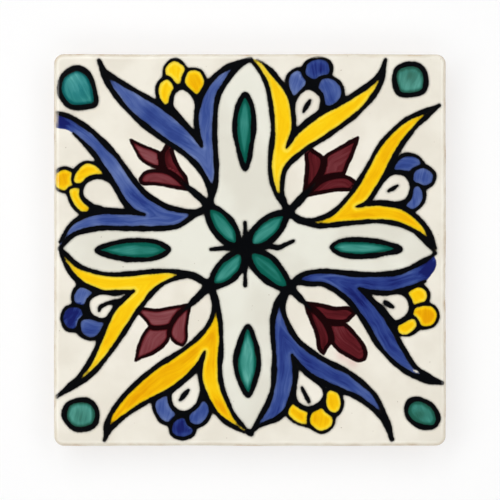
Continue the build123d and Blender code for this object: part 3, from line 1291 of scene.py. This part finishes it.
@dataclass
class PaintedTile:
    """The tile: painted face, rolled glaze edge, bare skirt and keyed back, in mm."""

    side: float
    thickness: float
    corner_radius: float = 2.5
    roll_radius: float = 1.5
    band_height: float = 5.0
    skirt_inset: float = 0.6
    skirt_top: float = 2.4  # height of the lowest fine row of points on the sides
    bevel: float = 0.5
    groove_pitch: float = 11.0
    groove_mouth: float = 5.5
    groove_floor: float = 4.35
    groove_depth: float = 1.0
    groove_pairs: int = 4
    face_cells: int = 272  # cells across the flat part of the face
    roll_steps: int = 6
    back_rows: int = 36
    drip_line: float = 6.7  # height of the glaze's lower edge between its drips
    drip_length: float = 2.9
    drip_lowest: float = 3.5
    drips: int = 46
    drip_widths: tuple[float, float] = (1.6, 5.0)  # narrowest and widest
    drip_wave: float = 0.35  # how uneven the glaze's lower edge is between its drips
    drip_rise: float = 0.3  # how far above drip_line that edge may reach
    thin_fade: float = 1.7  # how fast the thin glaze of the rolled edge thickens down the sides
    wave_height: float = 0.1  # broad unevenness of the face
    wave_length: float = 55.0  # longest of its waves
    ink_height: float = 0.035
    wash_height: float = 0.05
    ink_slope: tuple[float, float] = (0.12, -0.35)  # distances in mm over which ink rises
    wash_slope: tuple[float, float] = (0.1, -1.2)  # and over which a wash does
    relief_start: float = 0.2  # mm from the tile's edge at which the face's unevenness starts
    side_wave: float = 0.12  # unevenness of each side, in plan
    side_wave_length: float = 60.0  # longest of its waves
    bow_start: float = 0.84  # share of the way out from the middle at which that starts
    row_clearance: float = 0.3  # how far above a groove's roof the lowest row on the sides lies
    seed: int = 11

    @property
    def half(self) -> float:
        """Half of the tile's side."""
        return self.side / 2

    def share(self, places: np.ndarray) -> np.ndarray:
        """Share of the way over the tile, from 0 to 1, at places from its middle."""
        return places / self.side + 0.5

    def face_axis(self) -> np.ndarray:
        """Places of the face's grid lines, close together on the rolled edge."""
        flat = self.half - self.roll_radius
        turn = np.linspace(0, math.pi / 2, self.roll_steps + 1)[1:]
        roll = flat + self.roll_radius * np.sin(turn)
        return np.concatenate([-roll[::-1], np.linspace(-flat, flat, self.face_cells + 1), roll])

    def round_corners(self, x: np.ndarray, y: np.ndarray,
                      inset: np.ndarray | float) -> tuple[np.ndarray, ...]:
        """Moves a square's points so that its corners are round.

        Args:
            x: places to the right.
            y: places up.
            inset: how far in the outline lies at each point's height.

        Returns:
            The moved places, and each point's distance from the outline.
        """
        radius = self.corner_radius - np.minimum(inset, self.corner_radius / 2)
        reach = self.half - inset
        p = np.clip((np.abs(x) - (reach - radius)) / radius, 0, 1)
        q = np.clip((np.abs(y) - (reach - radius)) / radius, 0, 1)
        corner = (p > 0) & (q > 0)
        moved_x = np.where(corner, np.sign(x) * (reach - radius + radius * p * np.sqrt(1 - q * q / 2)), x)
        moved_y = np.where(corner, np.sign(y) * (reach - radius + radius * q * np.sqrt(1 - p * p / 2)), y)
        away = np.sqrt(np.clip(p * p + q * q - p * p * q * q, 0, 1))
        straight = reach - np.maximum(np.abs(x), np.abs(y))
        return moved_x, moved_y, np.where(corner, radius * (1 - away), straight)

    def inset_at(self, height: np.ndarray | float) -> np.ndarray:
        """How far in from the face's outline the side lies at a height."""
        skirt_height = self.thickness - self.band_height
        lean = self.skirt_inset * np.clip((skirt_height - height) / skirt_height, 0, 1)
        return lean + np.clip(self.bevel - height, 0, self.bevel)

    def groove_height(self, x: np.ndarray) -> np.ndarray:
        """Height of the back above its ribs, across the grooves."""
        offset = np.abs((x / self.groove_pitch) % 1.0 - 0.5) * self.groove_pitch
        wall = (self.groove_mouth - self.groove_floor) / 2
        height = np.clip((self.groove_mouth / 2 - offset) / wall, 0, 1) * self.groove_depth
        return np.where(np.abs(x) < self.groove_pairs * self.groove_pitch, height, 0.0)

    def uneven(self, points: np.ndarray) -> np.ndarray:
        """Bows the sides a little in plan, as pressed clay does in the kiln."""
        x, y = points[..., 0].copy(), points[..., 1].copy()
        start = self.bow_start * self.half
        pull_x, pull_y = (ease(start, self.half, np.abs(p)) * self.side_wave for p in (x, y))
        right, left, top, bottom = (Ripple(self.seed + n, self.side_wave_length) for n in range(4))
        moved = points.copy()
        moved[..., 0] = x + np.where(x > 0, right(y), left(y)) * pull_x
        moved[..., 1] = y + np.where(y > 0, top(x), bottom(x)) * pull_y
        return moved

    def face_points(self, canvas: Canvas) -> tuple[np.ndarray, np.ndarray]:
        """Points of the face, with its rolled edge and the relief of the paint.

        Args:
            canvas: the painted face.

        Returns:
            The points in rows and columns, and their distances from the outline.
        """
        x, y = np.meshgrid(canvas.us, canvas.vs)
        x, y, edge = self.round_corners(x, y, 0.0)
        rolled = self.roll_radius - np.clip(edge, 0, self.roll_radius)
        z = self.thickness - self.roll_radius + np.sqrt(self.roll_radius**2 - rolled**2)
        across, up, slant = (Ripple(self.seed + 10 + n, self.wave_length) for n in range(3))
        wave = (across(x) + up(y) + slant(x * 0.7 + y * 0.6)) / 3 * self.wave_height
        washes = np.minimum.reduce(list(canvas.wash.values()))
        washed = ease(*self.wash_slope, washes) * self.wash_height
        inked = ease(*self.ink_slope, canvas.ink) * self.ink_height
        z = z + (wave + np.maximum(washed, inked)) * ease(self.relief_start, self.roll_radius, edge)
        return np.stack([x, y, z], axis=-1), edge

    def side_outline(self, along: np.ndarray, side: int,
                     inset: np.ndarray | float) -> tuple[np.ndarray, np.ndarray]:
        """Points of one side's outline in plan.

        Args:
            along: places along the side, from its left end to its right as seen from outside.
            side: 0 to 3, from the front round to the right.
            inset: how far in the outline lies.

        Returns:
            Places to the right and up.
        """
        scale = (self.half - inset) / self.half
        edge = np.full_like(along, self.half) * scale
        x, y = {0: (along * scale, -edge), 1: (edge, along * scale),
                2: (-along * scale, edge), 3: (-edge, -along * scale)}[side]
        x, y, _ = self.round_corners(x, y, inset)
        return x, y

    def drip_height(self, perimeter: np.ndarray) -> np.ndarray:
        """Height of the glaze's lower edge along the perimeter, which closes on itself."""
        whole = 4 * self.side
        draw = np.random.default_rng(self.seed + 20)
        middles = (np.arange(self.drips) + draw.uniform(-0.3, 0.3, self.drips)) * whole / self.drips
        widths = draw.uniform(*self.drip_widths, self.drips)
        depths = draw.uniform(0.3, 1.0, self.drips) ** 1.5 * self.drip_length
        away = np.subtract.outer(perimeter, middles)
        away = (away + whole / 2) % whole - whole / 2
        sag = (np.exp(-(np.abs(away) / widths) ** 2.6) * depths).sum(axis=-1)
        turns = 2 * np.pi * perimeter / whole
        wave = sum(np.sin(turns * n + n * n) for n in (5, 9, 14, 23)) / 4
        line = self.drip_line + self.drip_wave * wave - sag
        return np.clip(line, self.drip_lowest, self.drip_line + self.drip_rise)

    def side_points(self, along: np.ndarray) -> tuple[np.ndarray, np.ndarray]:
        """Points of the glazed band and the bare clay below it, round all four sides.

        Args:
            along: places along a side, without its last.

        Returns:
            The points, in rows from the top down, and their heights above the glaze's edge.
        """
        lines = [self.drip_height(side * self.side + self.half + along) for side in range(4)]
        rows, above = [], []
        for row in BAND_ROWS:
            levels = [row.height(line, self.thickness - self.roll_radius, self.skirt_top) for line in lines]
            outlines = [self.side_outline(along, side, self.inset_at(z) + row.recess)
                        for side, z in enumerate(levels)]
            rows.append(np.vstack([np.stack([x, y, z], axis=-1) for (x, y), z in zip(outlines, levels)]))
            above.append(np.concatenate(levels) - np.concatenate(lines))
        return np.stack(rows), np.stack(above)

    def back_axes(self) -> tuple[np.ndarray, np.ndarray]:
        """Grid lines of the back, across its grooves and along them."""
        plain = self.half - self.corner_radius - 0.1
        foot, floor = self.groove_floor + 0.2, self.groove_floor - 0.4
        walls = np.array([-self.groove_mouth, -foot, -floor, 0.0, floor, foot, self.groove_mouth]) / 2
        middles = (np.arange(2 * self.groove_pairs) + 0.5 - self.groove_pairs) * self.groove_pitch
        keyed = np.add.outer(middles, walls).ravel()
        across = np.concatenate([[-self.half, -plain], keyed, [plain, self.half]])
        along = np.concatenate([[-self.half], np.linspace(-plain, plain, self.back_rows), [self.half]])
        return across, along

    def back_points(self, across: np.ndarray, along: np.ndarray) -> np.ndarray:
        """Points of the keyed back.

        Args:
            across: grid lines across the grooves.
            along: grid lines along them.

        Returns:
            The points, in rows and columns.
        """
        z = np.broadcast_to(self.groove_height(across), (len(along), len(across)))
        outer = self.half - self.inset_at(0.0)
        reach = self.half - self.inset_at(z)
        x = np.broadcast_to(np.clip(across, -outer, outer), z.shape)
        y = np.clip(along[:, None], -reach, reach)
        x, y, _ = self.round_corners(x, y, self.inset_at(0.0))
        return np.stack([x, y, z], axis=-1)

    def skirt_points(self, lines: np.ndarray, side: int) -> np.ndarray:
        """Points just above the back's arris, over the back's own grid lines.

        Args:
            lines: the grid lines, from the side's left end to its right as seen from outside.
            side: 0 to 3, from the front round to the right.

        Returns:
            The points.
        """
        grooved = self.groove_height(lines) if side % 2 == 0 else np.zeros_like(lines)
        z = np.maximum(self.bevel, grooved + self.row_clearance)
        inset = self.inset_at(z)
        reach = self.half - inset
        held = np.clip(lines, -reach, reach)
        x, y = {0: (held, -reach), 1: (reach, held), 2: (held, reach), 3: (-reach, held)}[side]
        x, y, _ = self.round_corners(x, y, inset)
        return np.stack([x, y, z], axis=-1)

    def build(self) -> bpy.types.Object:
        """Builds the closed mesh, with its UV map and the distances that its finish reads."""
        axis = self.face_axis()
        canvas = Canvas(axis, axis)
        Brushwork().paint(canvas)
        shell = Shell()

        face, edge = self.face_points(canvas)
        top = shell.add_points(self.uneven(face))
        shell.add_grid(top, FACE_PATCH.place(self.share(face[..., 0]), self.share(face[..., 1])))

        band, above = self.side_points(axis[:-1])
        rings = shell.add_points(self.uneven(band))

        across, along = self.back_axes()
        back = self.back_points(across, along)
        under = shell.add_points(self.uneven(back))
        back_uv = BACK_PATCH.place(self.share(back[..., 1]), self.share(back[..., 0]))
        shell.add_grid(under, back_uv, flip=True)

        grid_lines = (across, along, across[::-1], along[::-1])
        skirt = [self.skirt_points(lines, side) for side, lines in enumerate(grid_lines)]
        skirt_numbers = [shell.add_points(self.uneven(points[:-1])) for points in skirt]
        fine_uv = self.share(axis)
        roll_foot = np.full(len(axis), self.thickness - self.roll_radius)
        for side, (upper, lower) in enumerate(zip(rim(top), rim(under))):
            turn = (side * (len(axis) - 1) + np.arange(len(axis))) % rings.shape[1]
            fine = np.vstack([upper, rings[:, turn]])[::-1]
            heights = np.vstack([roll_foot, band[:, turn, 2]])[::-1] / self.thickness
            patch = SIDE_PATCHES[side]
            places = patch.place(np.broadcast_to(fine_uv, heights.shape), heights)
            shell.add_grid(fine, places)

            ring = np.append(skirt_numbers[side], skirt_numbers[(side + 1) % 4][0])
            lines = self.share(grid_lines[side] * (1 if side < 2 else -1))
            ring_uv = patch.place(lines, skirt[side][:, 2] / self.thickness)
            shell.zip_rows(fine[0], places[0], ring, ring_uv)
            foot_uv = patch.place(lines, np.zeros(len(lines)))
            shell.add_grid(np.stack([lower, ring]), np.stack([foot_uv, ring_uv]))

        readings = {pigment.value: shell.padded(canvas.wash[pigment]) for pigment in Pigment}
        readings["ink_mm"] = shell.padded(canvas.ink)
        readings["cross_mm"] = shell.padded(canvas.cross)
        readings["load"] = shell.padded(canvas.load)
        readings["stroke_mm"] = shell.padded(canvas.stroke)
        readings["bleed"] = shell.padded(canvas.bleed, rest=0.0)
        readings["cast"] = shell.padded(canvas.cast, rest=0.0)
        ungrooved = np.zeros(edge.size + above.size)
        readings["groove_mm"] = shell.padded(ungrooved, back[..., 2], rest=0.0)
        below_roll = (self.thickness - self.roll_radius - band[..., 2]) * self.thin_fade
        readings["edge_mm"] = shell.padded(edge, below_roll)
        readings["glaze_mm"] = shell.padded(np.full(edge.shape, FAR), above, rest=-FAR)
        return shell.mesh_object("painted_tile", readings)

    def dress(self, piece: bpy.types.Object) -> None:
        """Gives the tile its finish and its place in the frame."""
        piece.data.materials.append(TileFinish().material())
        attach(piece, BODY)
        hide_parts(NODE)


@dataclass(frozen=True)
class SoftBox:
    """A wide lamp that points at the tile."""

    name: str
    turn: float  # degrees round from the right
    rise: float  # degrees up from the floor
    away: float  # metres
    width: float  # metres
    height: float  # metres
    watts: float

    def hang(self) -> bpy.types.Object:
        """Makes the lamp."""
        lamp = bpy.data.lights.new(self.name, "AREA")
        lamp.shape = "RECTANGLE"
        lamp.size = self.width
        lamp.size_y = self.height
        lamp.energy = self.watts
        piece = bpy.data.objects.new(self.name, lamp)
        turn, rise = math.radians(self.turn), math.radians(self.rise)
        toward = Vector((math.cos(turn) * math.cos(rise), math.sin(turn) * math.cos(rise), math.sin(rise)))
        piece.location = toward * self.away
        piece.rotation_euler = toward.to_track_quat("Z", "Y").to_euler()
        bpy.context.scene.collection.objects.link(piece)
        return piece


@dataclass
class Studio:
    """A pale floor, soft lamps round the tile and a camera straight above it."""

    face_height: float  # mm
    picture_width: float = 127.2  # mm of the face's plane that the picture spans
    lens: float = 100.0
    sensor: float = 36.0
    floor_width: float = 6.0  # metres
    floor_drop: float = 0.02  # mm that the floor lies below the ribs
    floor_colour: Rgb = (246, 246, 246)
    zenith: float = 0.01  # the room is dark overhead, where the camera is, and bright all round
    horizon: float = 0.35
    dusk: tuple[float, float] = (0.85, 0.25)  # heights of a ray between which it brightens
    backdrop: tuple[float, float] = (0.2, 0.08)  # heights between which the white backdrop starts
    floor_share: float = 0.6  # how much of the floor by the tile shows as plain white
    floor_fade: tuple[float, float] = (200.0, 700.0)  # mm from the tile over which all of it does
    lamps: tuple[SoftBox, ...] = (
        SoftBox("lamp_left", 145, 53, 0.9, 1.5, 0.38, 6.0),
        SoftBox("lamp_right", 25, 52, 1.0, 1.5, 0.4, 4.4),
        SoftBox("lamp_front", 265, 52, 1.0, 1.5, 0.4, 4.1),
    )

    def lay_floor(self) -> bpy.types.Object:
        """Lays the floor that the tile rests on."""
        reach, drop = self.floor_width / 2, -self.floor_drop * MM
        mesh = bpy.data.meshes.new("floor")
        corners = ((-reach, -reach), (reach, -reach), (reach, reach), (-reach, reach))
        mesh.from_pydata([(*corner, drop) for corner in corners], [], [(0, 1, 2, 3)])
        floor = bpy.data.objects.new("floor", mesh)
        bpy.context.scene.collection.objects.link(floor)
        paint = bpy.data.materials.new("pale_floor")
        bench = Bench(paint)
        sockets = {"Base Color": linear(self.floor_colour), "Roughness": 0.9}
        matt = bench.node("ShaderNodeBsdfPrincipled", {}, sockets)
        plain = bench.node("ShaderNodeEmission", {}, {"Color": (1, 1, 1, 1), "Strength": 1.0})
        rays = bench.node("ShaderNodeLightPath").outputs
        seen = Value(bench, rays["Is Camera Ray"]).most(Value(bench, rays["Is Glossy Ray"]))
        seen = seen.most(Value(bench, rays["Is Transmission Ray"]))
        faded = bench.distance(bench.millimetres()).eased(*self.floor_fade)
        share = self.floor_share + (1.0 - self.floor_share) * faded
        mix = bench.node("ShaderNodeMixShader", {}, {
            0: seen * share, 1: Link(bench, matt.outputs[0]), 2: Link(bench, plain.outputs[0]),
        })
        bench.close(mix)
        mesh.materials.append(paint)
        return floor

    def light(self) -> None:
        """Hangs the lamps and sets the light of the room, with a low white backdrop all round."""
        for box in self.lamps:
            box.hang()
        world = bpy.data.worlds.new("room")
        bpy.context.scene.world = world
        bench = Bench(world)
        toward = bench.node("ShaderNodeTexCoord").outputs["Generated"]
        up = Value(bench, bench.node("ShaderNodeSeparateXYZ", {}, {0: Link(bench, toward)}).outputs["Z"])
        strength = self.zenith + (self.horizon - self.zenith) * up.eased(*self.dusk)
        strength = strength + (1.0 - self.horizon) * up.eased(*self.backdrop)
        room = bench.node("ShaderNodeBackground", {}, {"Color": (1, 1, 1, 1), "Strength": strength})
        bench.node("ShaderNodeOutputWorld", {}, {"Surface": Link(bench, room.outputs[0])})

    def set_camera(self) -> bpy.types.Object:
        """Sets the camera above the middle of the tile, looking straight down."""
        camera = bpy.data.cameras.new("camera")
        camera.lens = self.lens
        camera.sensor_width = self.sensor
        piece = bpy.data.objects.new("camera", camera)
        away = self.picture_width * self.lens / self.sensor
        piece.location = (0, 0, (self.face_height + away) * MM)
        bpy.context.scene.collection.objects.link(piece)
        bpy.context.scene.camera = piece
        return piece


def main() -> None:
    """Builds the tile and its studio."""
    logging.basicConfig(level=logging.INFO, format="%(message)s")
    low, high = (Vector(corner) for corner in CAD_BOX)
    tile = PaintedTile(side=round((high.x - low.x) / MM, 3), thickness=round((high.z - low.z) / MM, 3))
    piece = tile.build()
    tile.dress(piece)
    log.info("%s: %d points, %d faces", piece.name, len(piece.data.vertices), len(piece.data.polygons))
    studio = Studio(face_height=tile.thickness)
    log.info("%s laid", studio.lay_floor().name)
    studio.light()
    log.info("%s set", studio.set_camera().name)
    view = bpy.context.scene.view_settings
    view.view_transform = "Standard"


if __name__ == "__main__":
    main()
